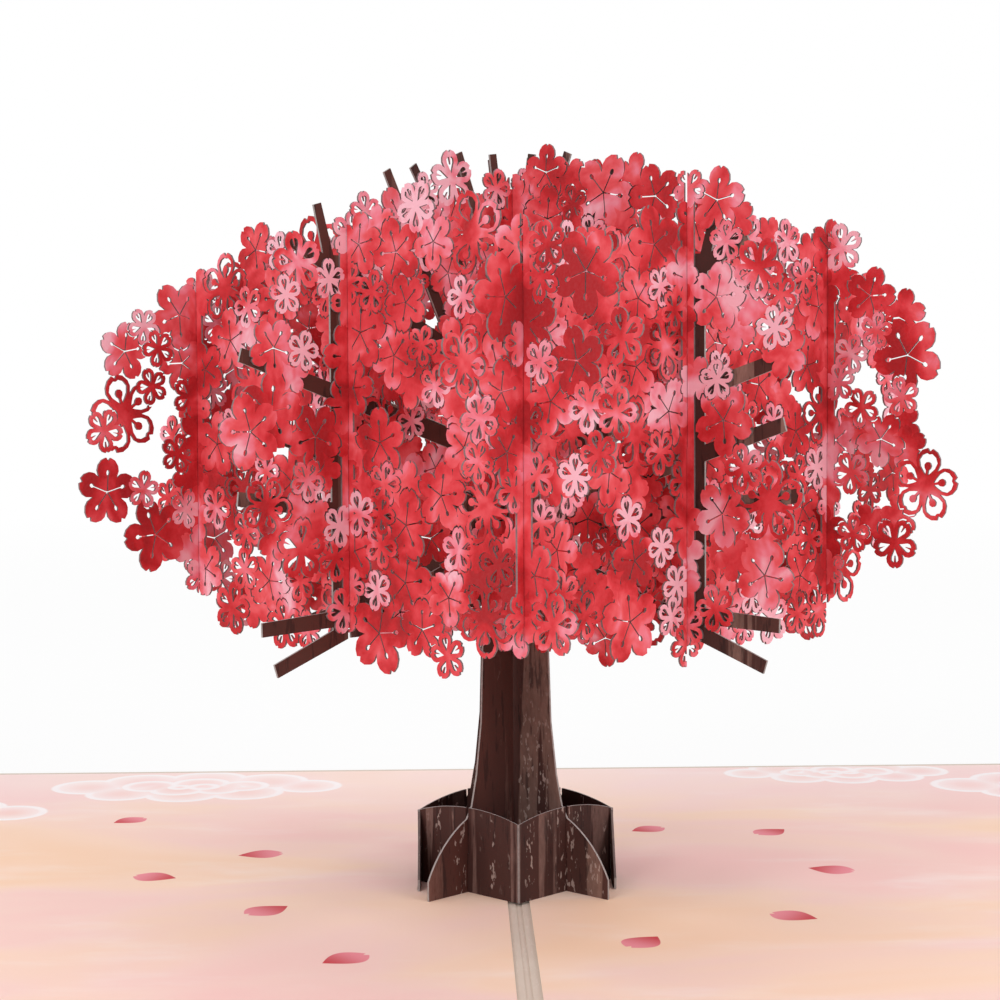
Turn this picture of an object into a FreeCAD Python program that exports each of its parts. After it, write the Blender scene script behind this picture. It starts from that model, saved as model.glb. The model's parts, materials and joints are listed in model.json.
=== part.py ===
import FreeCAD, Part
import os
from math import copysign, cos, hypot, pi, radians, sin, sqrt

# A greeting card that opens flat, with a blossom tree of crossing paper sheets standing on its fold.
# X runs across the opened card, Y along the fold to the back, Z up. The origin is the middle of the underside.

V = FreeCAD.Vector
os.makedirs("parts", exist_ok=True)

# Card
half_width = 127.0
depth = 177.8
cover_thick = 0.5
panel_thick = 0.3
panel_gap = 3.0
panel_inset = 1.3
score_width = 0.8
score_depth = 0.15

# Paper of the tree and its fits
paper = 0.3
slot_clear = 0.1

# Root ring: a square standing on its corner, folded from two strips
ring_reach = 13.7
ring_side_height = 10.2
ring_mid_height = 11.8
ring_fold_height = 10.7
corner_slot = 0.9
tab_length = 6.4
tab_end_height = 1.6
foot_start = 1.6
foot_length = 3.8

# Trunk sheets: u is the distance from the axis within the sheet
fin_reach = 17.4
fin_end_height = 2.7
fin_bulge = (14.2, 7.2)
fin_shoulder_height = 10.2
ring_lap_height = 5.4
trunk_flank = [(8.9, 11.9), (7.9, 16.1), (6.9, 23.4), (6.5, 33.8),
               (5.8, 46.0), (4.6, 62.0), (2.6, 82.0), (1.6, 88.0)]
brace_half_width = 2.8
brace_foot = 37.4
brace_head = 87.0

# Widths of a limb and of a twig, at the root and at the tip
limb_widths = (2.8, 1.8)
twig_widths = (1.8, 1.3)

# Limbs as (start u, start height, end u, end height), and thin twigs in the same form
limbs = [
    (3.0, 41.2, 46.0, 39.6),
    (4.0, 48.0, 43.8, 34.2),
    (3.0, 50.0, 49.6, 56.2),
    (3.0, 52.0, 46.8, 65.0),
    (2.5, 60.0, 49.0, 74.0),
    (2.0, 70.0, 41.0, 88.8),
]
twigs = [
    (1.0, 84.0, 3.9, 102.4),
    (0.5, 78.0, 10.6, 102.0),
    (1.0, 72.0, 19.2, 99.6),
    (11.0, 74.3, 24.0, 98.6),
    (33.6, 84.0, 36.2, 93.4),
]

# Crown: the sheets cross at every pitch, and each runs on past its last crossing
crown_pitch = 31.4
overhang = 19.5
crown_mid = 62.5
crown_lean = 0.08
foot_lean = -0.05
roundness = 2.6
outer_top = 93.5
outer_foot = 34.5
inner_top = 101.5
inner_foot = 33.5
lap_height = 62.0
band_half_width = 1.9

# Blossoms along the rim of the crown
rim_radius = 4.7
rim_swing = 0.8
rim_spacing = 2.25
rim_inset = 0.6
rim_wander = 3.4
core_inset = 5.2
core_points = 24
petals = 5
valley = 0.5
shoulder = radians(17.0)
window_inner = 0.28
window_outer = 0.72
window_half = radians(11.0)
window_every = 30
gap_size = 1.9

card_top = cover_thick + panel_thick
crown_reach = crown_pitch + overhang


def save(shape, name):
    shape.exportStep("parts/" + name + ".step")


def point(u, z):
    """Point of an upright sheet at u along it and z above the card."""
    return V(u, 0.0, card_top + z)


def outline_face(points):
    """Flat face in the XZ plane from (u, z) points, always turned the same way."""
    ahead = points[1:] + points[:1]
    area = sum(a[0] * b[1] - b[0] * a[1] for a, b in zip(points, ahead))
    corners = [point(u, z) for u, z in (points if area > 0.0 else reversed(points))]
    return Part.Face(Part.makePolygon(corners + corners[:1]))


def one_sheet(face):
    """The connected sheet, without the crumbs that a cut leaves loose."""
    return max(face.removeSplitter().Faces, key=lambda piece: piece.Area)


def rectangle(u0, u1, z0, z1):
    return outline_face([(u0, z0), (u1, z0), (u1, z1), (u0, z1)])


def thicken(face, near):
    """Sheet of paper whose front face lies at Y = near."""
    sheet = face.extrude(V(0.0, paper, 0.0))
    sheet.translate(V(0.0, near, 0.0))
    return sheet


def stand(sheet, family, place):
    """Turn a sheet to its diagonal: family a runs to the back right, family b to the front right."""
    turned = sheet.copy()
    turned.rotate(V(0.0, 0.0, 0.0), V(0.0, 0.0, 1.0), 45.0 if family == "a" else -45.0)
    step = place * crown_pitch / sqrt(2.0)
    turned.translate(V(-step if family == "a" else step, step, 0.0))
    return turned


def crown_point(angle, top, foot, inset):
    """Point of the crown's rim at an angle from the horizontal, moved in by inset."""
    across = cos(angle)
    upward = sin(angle)
    u = (crown_reach - inset) * copysign(abs(across) ** (2.0 / roundness), across)
    rise = top - crown_mid if upward > 0.0 else crown_mid - foot
    z = crown_mid + (rise - inset) * copysign(abs(upward) ** (2.0 / roundness), upward)
    z += (crown_lean if upward > 0.0 else foot_lean) * u
    return u, z


def rim_blossoms(top, foot, phase):
    """Blossoms along the rim as (u, z, radius, turn), spaced by their own size."""
    found = []
    steps = 1440
    walked = 0.0
    wanted = 0.0
    last = crown_point(0.0, top, foot, 0.0)
    for step in range(1, steps):
        angle = 2.0 * pi * step / steps
        here = crown_point(angle, top, foot, 0.0)
        walked += hypot(here[0] - last[0], here[1] - last[1])
        last = here
        if walked >= wanted:
            radius = rim_radius + rim_swing * sin(2.4 * len(found) + phase)
            wander = rim_wander * (0.5 + 0.5 * sin(2.0 * len(found) + 2.0 * phase))
            u, z = crown_point(angle, top, foot, rim_inset * radius + wander)
            found.append((u, z, radius, 1.7 * len(found) + phase))
            walked = 0.0
            wanted = rim_spacing * radius
    return found


def blossom_outline(u, z, radius, turn):
    points = []
    for petal in range(petals):
        middle = turn + 2.0 * pi * petal / petals
        for angle, share in ((-pi / petals, valley), (-shoulder, 1.0), (shoulder, 1.0)):
            points.append((u + share * radius * cos(middle + angle), z + share * radius * sin(middle + angle)))
    return points


def blossom_windows(u, z, radius, turn):
    """Five three-cornered cut-outs, one in each petal."""
    windows = []
    for petal in range(petals):
        middle = turn + 2.0 * pi * petal / petals
        corners = []
        for angle, share in ((0.0, window_inner), (-window_half, window_outer), (window_half, window_outer)):
            corners.append((u + share * radius * cos(middle + angle), z + share * radius * sin(middle + angle)))
        windows.append(outline_face(corners))
    return windows


def clear_of_bands(u, radius, bands):
    return all(abs(u - band) > radius + band_half_width for band in bands)


def crown_face(top, foot, phase):
    """Flat blossom layer: a core, blossoms around its rim and a plain band at each crossing."""
    bands = [-crown_pitch, 0.0, crown_pitch]
    core = [crown_point(2.0 * pi * k / core_points, top, foot, core_inset) for k in range(core_points)]
    rim = rim_blossoms(top, foot, phase)
    pieces = [outline_face(blossom_outline(*flower)) for flower in rim]
    for band in bands:
        share = (1.0 - abs(band / crown_reach) ** roundness) ** (1.0 / roundness)
        head = crown_mid + (top - crown_mid) * share + crown_lean * band - rim_radius
        heel = crown_mid - (crown_mid - foot) * share + foot_lean * band + rim_radius
        pieces.append(rectangle(band - band_half_width, band + band_half_width, heel - 3.0, head + 1.0))
    face = one_sheet(outline_face(core).multiFuse(pieces))
    holes = []
    for k, (u, z, radius, turn) in enumerate(rim):
        if k % window_every == 0 and clear_of_bands(u, radius, bands):
            holes += blossom_windows(u, z, radius, turn)
    holes += light_gaps(top, foot, phase, bands)
    return face.cut(Part.makeCompound(holes))


def light_gaps(top, foot, phase, bands):
    """Irregular openings between the blossoms, halfway to the rim on each side of every band."""
    gaps = []
    for column in range(-3, 4):
        u = column * crown_pitch / 2.0 + 1.3 * sin(3.1 * column + phase)
        if not clear_of_bands(u, gap_size, bands):
            continue
        share = 1.0 - 0.08 * column * column
        for level in (-1, 0, 1):
            z = crown_mid + level * (top - foot) * 0.27 * share + 2.2 * cos(2.3 * column + level + phase)
            size = gap_size * (1.0 + 0.25 * sin(1.9 * level + column + phase))
            corners = []
            for k in range(4):
                angle = phase + column + k * pi / 2.0
                corners.append((u + size * cos(angle), z + size * (1.3 if k % 2 else 0.8) * sin(angle)))
            gaps.append(outline_face(corners))
    return gaps


def half_laps(face, family):
    """Open slots at the three crossings, from below in family a and from above in family b."""
    low = -1.0 if family == "a" else lap_height
    high = lap_height if family == "a" else inner_top + overhang
    thin = paper / 2.0 + slot_clear
    thick = thin + paper
    for crossing in (-1, 0, 1):
        at = crossing * crown_pitch
        before = thick if crossing == 0 and family == "a" else thin
        after = thick if crossing == 0 and family == "b" else thin
        face = face.cut(rectangle(at - before, at + after, low, high))
    return one_sheet(face)


def strip(u0, z0, u1, z1, widths):
    """Straight limb from its root to its tip, cut square at both ends."""
    length = hypot(u1 - u0, z1 - z0)
    side_u = (z0 - z1) / length
    side_z = (u1 - u0) / length
    root, tip = (width / 2.0 for width in widths)
    return outline_face([(u0 + root * side_u, z0 + root * side_z), (u0 - root * side_u, z0 - root * side_z),
                         (u1 - tip * side_u, z1 - tip * side_z), (u1 + tip * side_u, z1 + tip * side_z)])


def flank_edges(side):
    """Edges of the trunk and its root fin: up the side of positive u, or down the other one."""
    ring_at = ring_reach / sqrt(2.0)
    slot_half = paper / 2.0 + slot_clear
    foot = [(0.0, 0.0), (ring_at - slot_half, 0.0), (ring_at - slot_half, ring_lap_height),
            (ring_at + slot_half, ring_lap_height), (ring_at + slot_half, 0.0),
            (fin_reach, 0.0), (fin_reach, fin_end_height)]
    shoulder_point = (ring_at + slot_half, fin_shoulder_height)
    flank = [shoulder_point] + trunk_flank + [(0.0, trunk_flank[-1][1])]
    if side < 0:
        foot.reverse()
        flank.reverse()
    lower, upper = [[point(side * u, z) for u, z in run] for run in (foot, flank)]
    bulge = point(side * fin_bulge[0], fin_bulge[1])
    lower_edges = [Part.makeLine(a, b) for a, b in zip(lower, lower[1:])]
    upper_edges = [Part.makeLine(a, b) for a, b in zip(upper, upper[1:])]
    if side < 0:
        return upper_edges + [Part.Arc(upper[-1], bulge, lower[0]).toShape()] + lower_edges
    return lower_edges + [Part.Arc(lower[-1], bulge, upper[0]).toShape()] + upper_edges


def trunk_sheet(family):
    face = Part.Face(Part.Wire(flank_edges(1) + flank_edges(-1)))
    growth = []
    for side in (-1, 1):
        growth += [strip(side * u0, z0, side * u1, z1, limb_widths) for u0, z0, u1, z1 in limbs]
        growth += [strip(side * u0, z0, side * u1, z1, twig_widths) for u0, z0, u1, z1 in twigs]
        at = side * crown_pitch
        growth.append(rectangle(at - brace_half_width, at + brace_half_width, brace_foot, brace_head))
    for branch in growth:
        face = one_sheet(face.fuse(branch))
    face = half_laps(face, family)
    save(stand(thicken(face, -paper / 2.0), family, 0), "trunk_sheet_" + family)


def blossom_sheet(family, place, phase):
    """Blossom sheet one pitch in front of or behind the trunk."""
    face = half_laps(crown_face(outer_top, outer_foot, phase), family)
    side = "front" if place < 0 else "back"
    save(stand(thicken(face, -paper / 2.0), family, place), "blossom_sheet_" + family + "_" + side)


def blossom_layer(family, phase):
    """Blossom sheet glued to the front face of a trunk sheet."""
    face = half_laps(crown_face(inner_top, inner_foot, phase), family)
    save(stand(thicken(face, -1.5 * paper), family, 0), "blossom_layer_" + family)


def arch_profile():
    """Region under the ring's top edge, as a face across X."""
    reach = ring_reach + 1.0
    side = point(-ring_reach, ring_side_height)
    crest = point(-ring_reach / 2.0, ring_mid_height)
    fold = point(0.0, ring_fold_height)
    edges = [
        Part.makeLine(point(-reach, -1.0), point(-reach, ring_side_height)),
        Part.makeLine(point(-reach, ring_side_height), side),
        Part.Arc(side, crest, fold).toShape(),
        Part.Arc(fold, point(ring_reach / 2.0, ring_mid_height), point(ring_reach, ring_side_height)).toShape(),
        Part.makeLine(point(ring_reach, ring_side_height), point(reach, ring_side_height)),
        Part.makeLine(point(reach, ring_side_height), point(reach, -1.0)),
        Part.makeLine(point(reach, -1.0), point(-reach, -1.0)),
    ]
    return Part.Face(Part.Wire(edges))


def ring_tab(side):
    """Glue tab beyond a side corner, parallel to the fold, with its foot in the panel's slot."""
    foot_end = foot_start + foot_length
    flap = [(paper, 0.0), (tab_length, 0.0), (tab_length, tab_end_height), (paper, ring_side_height)]
    foot = [(foot_start, -panel_thick), (foot_end, -panel_thick), (foot_end, 0.0), (foot_start, 0.0)]
    plates = []
    for outline in (flap, foot):
        corners = [V(0.0, y, card_top + z) for y, z in outline]
        plate = Part.Face(Part.makePolygon(corners + corners[:1])).extrude(V(paper, 0.0, 0.0))
        plate.translate(V(side * ring_reach - paper / 2.0, 0.0, 0.0))
        plates.append(plate)
    return plates


def ring_strip(facing):
    """Folded strip with one fold at the front or back and a tab past each side corner."""
    outer = paper / sqrt(2.0)
    ahead = V(0.0, -ring_reach - outer, card_top)
    behind = V(0.0, -ring_reach + outer, card_top)
    left_out = V(-ring_reach - outer, 0.0, card_top)
    left_in = V(-ring_reach + outer, 0.0, card_top)
    right_in = V(ring_reach - outer, 0.0, card_top)
    right_out = V(ring_reach + outer, 0.0, card_top)
    plan = [ahead, right_out, right_in, behind, left_in, left_out]
    walls = Part.Face(Part.makePolygon(plan + plan[:1])).extrude(V(0.0, 0.0, ring_mid_height + 1.0))
    arch = arch_profile().extrude(V(0.0, 2.0 * ring_reach + 2.0 * tab_length, 0.0))
    arch.translate(V(0.0, -ring_reach - tab_length, 0.0))
    tabs = ring_tab(-1) + ring_tab(1)
    corner = [Part.makeBox(paper, 2.0 * paper, ring_side_height,
                           V(side * ring_reach - paper / 2.0, -paper, card_top)) for side in (-1, 1)]
    strip_solid = walls.common(arch).multiFuse(tabs + corner)
    for side in (-1, 1):
        at = side * ring_reach / 2.0
        slot = Part.makeBox(paper + 2.0 * slot_clear, 2.0 * foot_length, ring_mid_height,
                            V(-paper / 2.0 - slot_clear, -foot_length, card_top + ring_lap_height))
        slot.rotate(V(0.0, 0.0, 0.0), V(0.0, 0.0, 1.0), -45.0 * side)
        slot.rotate(V(0.0, 0.0, 0.0), V(0.0, 0.0, 1.0), 90.0)
        slot.translate(V(at, -ring_reach / 2.0, 0.0))
        strip_solid = strip_solid.cut(slot)
        low = card_top if facing == "front" else card_top + ring_side_height / 2.0
        relief = Part.makeBox(corner_slot, corner_slot, ring_side_height / 2.0,
                              V(side * ring_reach - corner_slot / 2.0, -corner_slot / 2.0, low))
        strip_solid = strip_solid.cut(relief)
    strip_solid = strip_solid.removeSplitter()
    if facing == "back":
        strip_solid.rotate(V(0.0, 0.0, 0.0), V(0.0, 0.0, 1.0), 180.0)
    save(strip_solid, "root_ring_" + facing)


def card():
    cover = Part.makeBox(2.0 * half_width, depth, cover_thick, V(-half_width, -depth / 2.0, 0.0))
    score = Part.makeBox(score_width, depth, score_depth,
                         V(-score_width / 2.0, -depth / 2.0, cover_thick - score_depth))
    save(cover.cut(score), "card_cover")
    for side, name in ((-1, "left"), (1, "right")):
        near = side * panel_gap / 2.0
        far = side * (half_width - panel_inset)
        panel = Part.makeBox(abs(far - near), depth - 2.0 * panel_inset, panel_thick,
                             V(min(near, far), panel_inset - depth / 2.0, cover_thick))
        for along in (-1, 1):
            middle = along * (foot_start + foot_length / 2.0)
            length = foot_length + 2.0 * slot_clear
            width = paper + 2.0 * slot_clear
            slot = Part.makeBox(width, length, panel_thick,
                                V(side * ring_reach - width / 2.0, middle - length / 2.0, cover_thick))
            panel = panel.cut(slot)
        save(panel, "inner_panel_" + name)


def main():
    card()
    for facing in ("front", "back"):
        ring_strip(facing)
    for number, family in enumerate("ab"):
        trunk_sheet(family)
        blossom_layer(family, 0.7 + 1.9 * number)
        for place in (-1, 1):
            blossom_sheet(family, place, 3.3 + 1.3 * number + 0.8 * place)


main()
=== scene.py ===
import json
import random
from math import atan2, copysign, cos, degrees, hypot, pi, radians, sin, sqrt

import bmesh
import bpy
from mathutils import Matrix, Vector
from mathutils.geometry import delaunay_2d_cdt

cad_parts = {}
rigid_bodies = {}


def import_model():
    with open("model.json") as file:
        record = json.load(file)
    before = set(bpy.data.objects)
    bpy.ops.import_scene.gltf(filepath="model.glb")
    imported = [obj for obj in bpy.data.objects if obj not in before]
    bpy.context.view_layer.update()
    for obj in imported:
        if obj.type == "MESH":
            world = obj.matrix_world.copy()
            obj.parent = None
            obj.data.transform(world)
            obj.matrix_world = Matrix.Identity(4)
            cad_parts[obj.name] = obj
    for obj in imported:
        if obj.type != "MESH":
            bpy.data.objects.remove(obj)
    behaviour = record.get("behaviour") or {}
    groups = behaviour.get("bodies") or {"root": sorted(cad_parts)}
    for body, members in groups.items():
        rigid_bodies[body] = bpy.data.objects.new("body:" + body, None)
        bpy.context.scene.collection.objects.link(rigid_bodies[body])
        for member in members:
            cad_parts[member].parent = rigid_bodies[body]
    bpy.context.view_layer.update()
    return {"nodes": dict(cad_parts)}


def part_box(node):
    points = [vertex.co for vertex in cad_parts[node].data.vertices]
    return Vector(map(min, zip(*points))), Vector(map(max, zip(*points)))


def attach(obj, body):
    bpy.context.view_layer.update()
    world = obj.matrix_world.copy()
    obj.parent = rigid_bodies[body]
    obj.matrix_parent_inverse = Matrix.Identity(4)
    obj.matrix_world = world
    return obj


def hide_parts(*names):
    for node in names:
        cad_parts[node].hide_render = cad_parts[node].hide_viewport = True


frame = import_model()

# %% [markdown]
# # A blossom tree that stands up from a greeting card
# The real card is thirteen flat things: a folded cover, two printed panels glued inside it, two
# folded strips that make a square collar, two sheets cut into trunk and limbs, and six sheets of
# blossoms. The packed model already holds every one of them at its true size. This notebook keeps
# the cover, the panels, the collar and the trunk as they are and gives them their print. The six
# blossom sheets are cut again, petal by petal, because their lace is far too fine for the plain
# model.

MM = 0.001
nodes = frame["nodes"]
print("nodes:", sorted(nodes))

# %% [markdown]
# ## The camera
# The photographer stood in front of the card, a little to the left of the fold and above the middle
# of the tree, with a lens twice as long as its frame is wide. A camera can be aimed with a Track To
# constraint, but a small roll then has nowhere to go. Here its three axes are built as vectors and
# put into one matrix.

# %% Camera
CAMERA_AT = Vector((-7.68, -283.26, 68.4)) * MM
YAW = radians(1.162)
PITCH = radians(2.706)
ROLL = radians(-0.356)
FRAME_WIDTH = 36.0
FOCAL_LENGTH = 72.24
NEAREST_SEEN = 0.01

ahead = Vector((sin(YAW) * cos(PITCH), cos(YAW) * cos(PITCH), -sin(PITCH)))
level_right = Vector((cos(YAW), -sin(YAW), 0.0))
level_up = level_right.cross(ahead)
right = level_right * cos(ROLL) + level_up * sin(ROLL)
upward = level_up * cos(ROLL) - level_right * sin(ROLL)

lens = bpy.data.cameras.new("camera")
lens.sensor_width = FRAME_WIDTH
lens.lens = FOCAL_LENGTH
lens.clip_start = NEAREST_SEEN
camera = bpy.data.objects.new("camera", lens)
camera.matrix_world = Matrix((right, upward, -ahead)).transposed().to_4x4()
camera.location = CAMERA_AT
bpy.context.scene.collection.objects.link(camera)
bpy.context.scene.camera = camera
print("camera height above the table:", round(CAMERA_AT.z / MM, 1), "mm")

# %% [markdown]
# ## Writing materials as sums
# A print on paper is many small layers of colour, which is tedious to wire by hand. The first class
# below wraps one output of a shader node, so that `1 - mask * 0.5` adds its own Math nodes. The
# second holds the nodes of one material: all that isn't plain arithmetic goes through its `add`,
# which takes a node's type, settings and inputs.

# %% Shader helpers
# Sockets of a Mix node that carry colours
COLOUR_A = 6
COLOUR_B = 7
COLOUR_OUT = 2


class Value:
    """One number or colour that varies over a surface."""

    def __init__(self, sheet, socket):
        self.sheet = sheet
        self.socket = socket

    def math(self, operation, first, second=None):
        inputs = {0: first} if second is None else {0: first, 1: second}
        return self.sheet.add("ShaderNodeMath", {"operation": operation}, inputs)

    def __add__(self, other):
        return self.math("ADD", self, other)

    def __sub__(self, other):
        return self.math("SUBTRACT", self, other)

    def __mul__(self, other):
        return self.math("MULTIPLY", self, other)

    def __truediv__(self, other):
        return self.math("DIVIDE", self, other)

    def __radd__(self, other):
        return self.math("ADD", other, self)

    def __rsub__(self, other):
        return self.math("SUBTRACT", other, self)

    def most(self, other):
        return self.math("MAXIMUM", self, other)

    def size(self):
        return self.math("ABSOLUTE", self)

    def fade(self, low, high):
        """0 below low and 1 above high, with a soft step between."""
        settings = {"interpolation_type": "SMOOTHSTEP"}
        inputs = {"Value": self, "From Min": low, "From Max": high}
        return self.sheet.add("ShaderNodeMapRange", settings, inputs)


class Wiring:
    """The nodes of one material or of the world."""

    def __init__(self, owner):
        owner.use_nodes = True
        self.tree = owner.node_tree

    def feed(self, socket, value):
        if isinstance(value, Value):
            self.tree.links.new(value.socket, socket)
        else:
            socket.default_value = value

    def add(self, kind, settings, inputs, output=0):
        node = self.tree.nodes.new(kind)
        for name, setting in settings.items():
            setattr(node, name, setting)
        for name, value in inputs.items():
            self.feed(node.inputs[name], value)
        return Value(self, node.outputs[output])

    def vector_math(self, operation, first, second, output=0):
        settings = {"operation": operation}
        return self.add("ShaderNodeVectorMath", settings, {0: first, 1: second}, output)

    def dot(self, vector, direction):
        return self.vector_math("DOT_PRODUCT", vector, direction, "Value")

    def distance(self, vector, point):
        return self.vector_math("DISTANCE", vector, point, "Value")

    def scaled(self, vector, factors):
        return self.vector_math("MULTIPLY", vector, factors)

    def noise(self, vector, scale, detail=3.0, rough=0.5, warp=0.0):
        inputs = {"Vector": vector, "Scale": scale, "Detail": detail}
        inputs.update({"Roughness": rough, "Distortion": warp})
        return self.add("ShaderNodeTexNoise", {}, inputs)

    def mix(self, share, first, second):
        """Colour between first and second."""
        inputs = {0: share, COLOUR_A: first, COLOUR_B: second}
        return self.add("ShaderNodeMix", {"data_type": "RGBA"}, inputs, COLOUR_OUT)

    def ramp(self, share, stops):
        """Colour read off a strip of (place, colour) stops."""
        node = self.tree.nodes.new("ShaderNodeValToRGB")
        strip = node.color_ramp
        strip.elements[0].position, strip.elements[0].color = stops[0]
        strip.elements[1].position, strip.elements[1].color = stops[-1]
        for place, shade in stops[1:-1]:
            strip.elements.new(place).color = shade
        self.feed(node.inputs["Fac"], share)
        return Value(self, node.outputs["Color"])

    def seen_white(self):
        """1 for rays that should meet plain white: from the camera, in gloss and through glass."""
        camera, glossy, through = [
            self.add("ShaderNodeLightPath", {}, {}, ray)
            for ray in ("Is Camera Ray", "Is Glossy Ray", "Is Transmission Ray")]
        return camera.most(glossy).most(through)


print("helpers:", [name for name in vars(Wiring) if not name.startswith("_")])

# %% [markdown]
# ## Printed paper
# Every piece of the card is matte paper, and most have ink on them. The ink is only colour, the
# shine is low and even, and the relief is no more than the grain of the paper, so one kind of
# material serves all pieces and each of them only brings its own paint. Object coordinates, which
# are the same for every piece of the packed model, keep a print at its true size in metres.

# %% Printed paper
PAPER_SHINE = 0.25


class Print(Wiring):
    """A material under construction: the paper and what is printed on it."""

    def __init__(self, name, roughness):
        self.material = bpy.data.materials.new(name)
        super().__init__(self.material)
        self.shader = self.tree.nodes["Principled BSDF"]
        self.shader.inputs["Roughness"].default_value = roughness
        self.shader.inputs["Specular IOR Level"].default_value = PAPER_SHINE
        self.place = self.add("ShaderNodeTexCoord", {}, {}, "Object")
        self.normal = self.add("ShaderNodeTexCoord", {}, {}, "Normal")

    def paint(self, shade):
        self.feed(self.shader.inputs["Base Color"], shade)

    def emboss(self, height, depth):
        """Small relief, depth in metres."""
        inputs = {"Height": height, "Distance": depth, "Strength": 1.0}
        self.feed(self.shader.inputs["Normal"], self.add("ShaderNodeBump", {}, inputs))


def colour(code):
    """Colour for a shader from its web code."""
    parts = [int(code[k:k + 2], 16) / 255.0 for k in (1, 3, 5)]
    linear = [c / 12.92 if c < 0.04045 else ((c + 0.055) / 1.055) ** 2.4 for c in parts]
    return tuple(linear) + (1.0,)


def dress(node, material):
    """Gives one of the packed model's pieces its material."""
    for slot in nodes[node].material_slots:
        slot.material = material


print("bark brown in linear light:", [round(c, 3) for c in colour("#4a2e2a")])

# %% [markdown]
# ## How a blossom sheet is laid out
# Each crown is a rounded block of blossoms that touch and overlap. The blossoms on its rim stand
# where the packed model has them, so that the silhouette stays. The inside is filled from large to
# small by a random generator that always starts from the same number. A blossom is refused where it
# would sit too deep in another one, or hide one of the sheet's openings. All measures here are in
# millimetres: u runs along a sheet from its middle, and z upwards from the panels.

# %% Crown measures
PAPER = 0.3
SLOT_CLEAR = 0.1
CARD_TOP = 0.8
PITCH_OF_SHEETS = 31.4
OVERHANG = 19.5
CROWN_REACH = PITCH_OF_SHEETS + OVERHANG
CROWN_MIDDLE = 62.5
CROWN_LEAN = 0.08
FOOT_LEAN = -0.05
ROUNDNESS = 2.6
INNER_TOP = 101.5
INNER_FOOT = 33.5
OUTER_TOP = 93.5
OUTER_FOOT = 34.5
LAP_HEIGHT = 62.0
BAND_HALF = 1.3
BANDS = (-PITCH_OF_SHEETS, 0.0, PITCH_OF_SHEETS)

RIM_RADIUS = 4.7
RIM_SWING = 0.8
RIM_SPACING = 2.25
RIM_INSET = 0.6
RIM_WANDER = 3.4
RIM_STEPS = 1440

BAY_WANDER = 1.3
LEVEL_SHARE = 0.27
LEVEL_SQUEEZE = 0.08
LEVEL_WANDER = 2.2


def crown_point(angle, top, foot, inset):
    """Point of the crown's rim at an angle from the horizontal, moved in by inset."""
    u = (CROWN_REACH - inset) * copysign(abs(cos(angle)) ** (2.0 / ROUNDNESS), cos(angle))
    rise = (top - CROWN_MIDDLE if sin(angle) > 0.0 else CROWN_MIDDLE - foot) - inset
    z = CROWN_MIDDLE + rise * copysign(abs(sin(angle)) ** (2.0 / ROUNDNESS), sin(angle))
    return u, z + (CROWN_LEAN if sin(angle) > 0.0 else FOOT_LEAN) * u


def inside_crown(u, z, top, foot, inset):
    rise = (top - CROWN_MIDDLE if z > CROWN_MIDDLE else CROWN_MIDDLE - foot) - inset
    up = z - CROWN_MIDDLE - (CROWN_LEAN if z > CROWN_MIDDLE else FOOT_LEAN) * u
    return abs(u / (CROWN_REACH - inset)) ** ROUNDNESS + abs(up / rise) ** ROUNDNESS < 1.0


def rim_blossoms(top, foot, phase):
    """Blossoms around the rim as (u, z, radius, turn); waves of their number make it irregular."""
    found = []
    walked = wanted = 0.0
    last = crown_point(0.0, top, foot, 0.0)
    for step in range(1, RIM_STEPS):
        angle = 2.0 * pi * step / RIM_STEPS
        here = crown_point(angle, top, foot, 0.0)
        walked += hypot(here[0] - last[0], here[1] - last[1])
        last = here
        if walked >= wanted:
            number = len(found)
            radius = RIM_RADIUS + RIM_SWING * sin(2.4 * number + phase)
            wander = RIM_WANDER * (0.5 + 0.5 * sin(2.0 * number + 2.0 * phase))
            u, z = crown_point(angle, top, foot, RIM_INSET * radius + wander)
            found.append((u, z, radius, 1.7 * number + phase))
            walked = 0.0
            wanted = RIM_SPACING * radius
    return found


def openings(top, foot, phase):
    """Middles of the gaps that let light through: three levels in each of the four bays."""
    found = []
    for bay in (-3, -1, 1, 3):
        u = bay * PITCH_OF_SHEETS / 2.0 + BAY_WANDER * sin(3.1 * bay + phase)
        for level in (-1, 0, 1):
            spread = (top - foot) * LEVEL_SHARE * (1.0 - LEVEL_SQUEEZE * bay * bay)
            z = CROWN_MIDDLE + level * spread
            found.append((u, z + LEVEL_WANDER * cos(2.3 * bay + level + phase)))
    return found


print("blossoms on the tall crown's rim:", len(rim_blossoms(INNER_TOP, INNER_FOOT, 0.7)))

# %% [markdown]
# ## Four kinds of blossom
# Look closely at a laser-cut blossom card and a few patterns come back: a solid blossom with five
# slits that end in round holes, a small one with a drop-shaped window in each petal, and a large
# one that is nearly all window, with spoon-shaped stamens standing in it. A fourth, plain, has no
# cuts and only fills bare spots. Each outline below is a closed loop round the middle (0, 0), for a
# radius of 1, so one petal's outline serves every petal of every size.

# %% Petal and window outlines
PETALS = 5
PETAL_MIDDLE = 0.63
PETAL_REACH = 0.37
NOTCH_DEPTH = 0.1
NOTCH_HALF = 4.5
PETAL_ANGLES = [radians(a) for a in (-36.0, -31.0, -24.0, -14.0, -4.5, 0.0, 4.5, 14.0, 24.0, 31.0)]
SLIT_HALF = 0.085
CRESCENT_WIDTH = 0.26


def petal_edge(angle):
    """How far a round petal reaches from the blossom's middle, with a notch at its tip."""
    side = PETAL_MIDDLE * sin(angle)
    edge = PETAL_MIDDLE * cos(angle) + sqrt(max(PETAL_REACH * PETAL_REACH - side * side, 0.0))
    return edge - NOTCH_DEPTH * max(0.0, 1.0 - abs(degrees(angle)) / NOTCH_HALF)


def mirrored(half):
    """Closed outline from the points on one side, with both ends on the petal's middle line."""
    return half + [(x, -y) for x, y in reversed(half[1:-1])]


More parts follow.
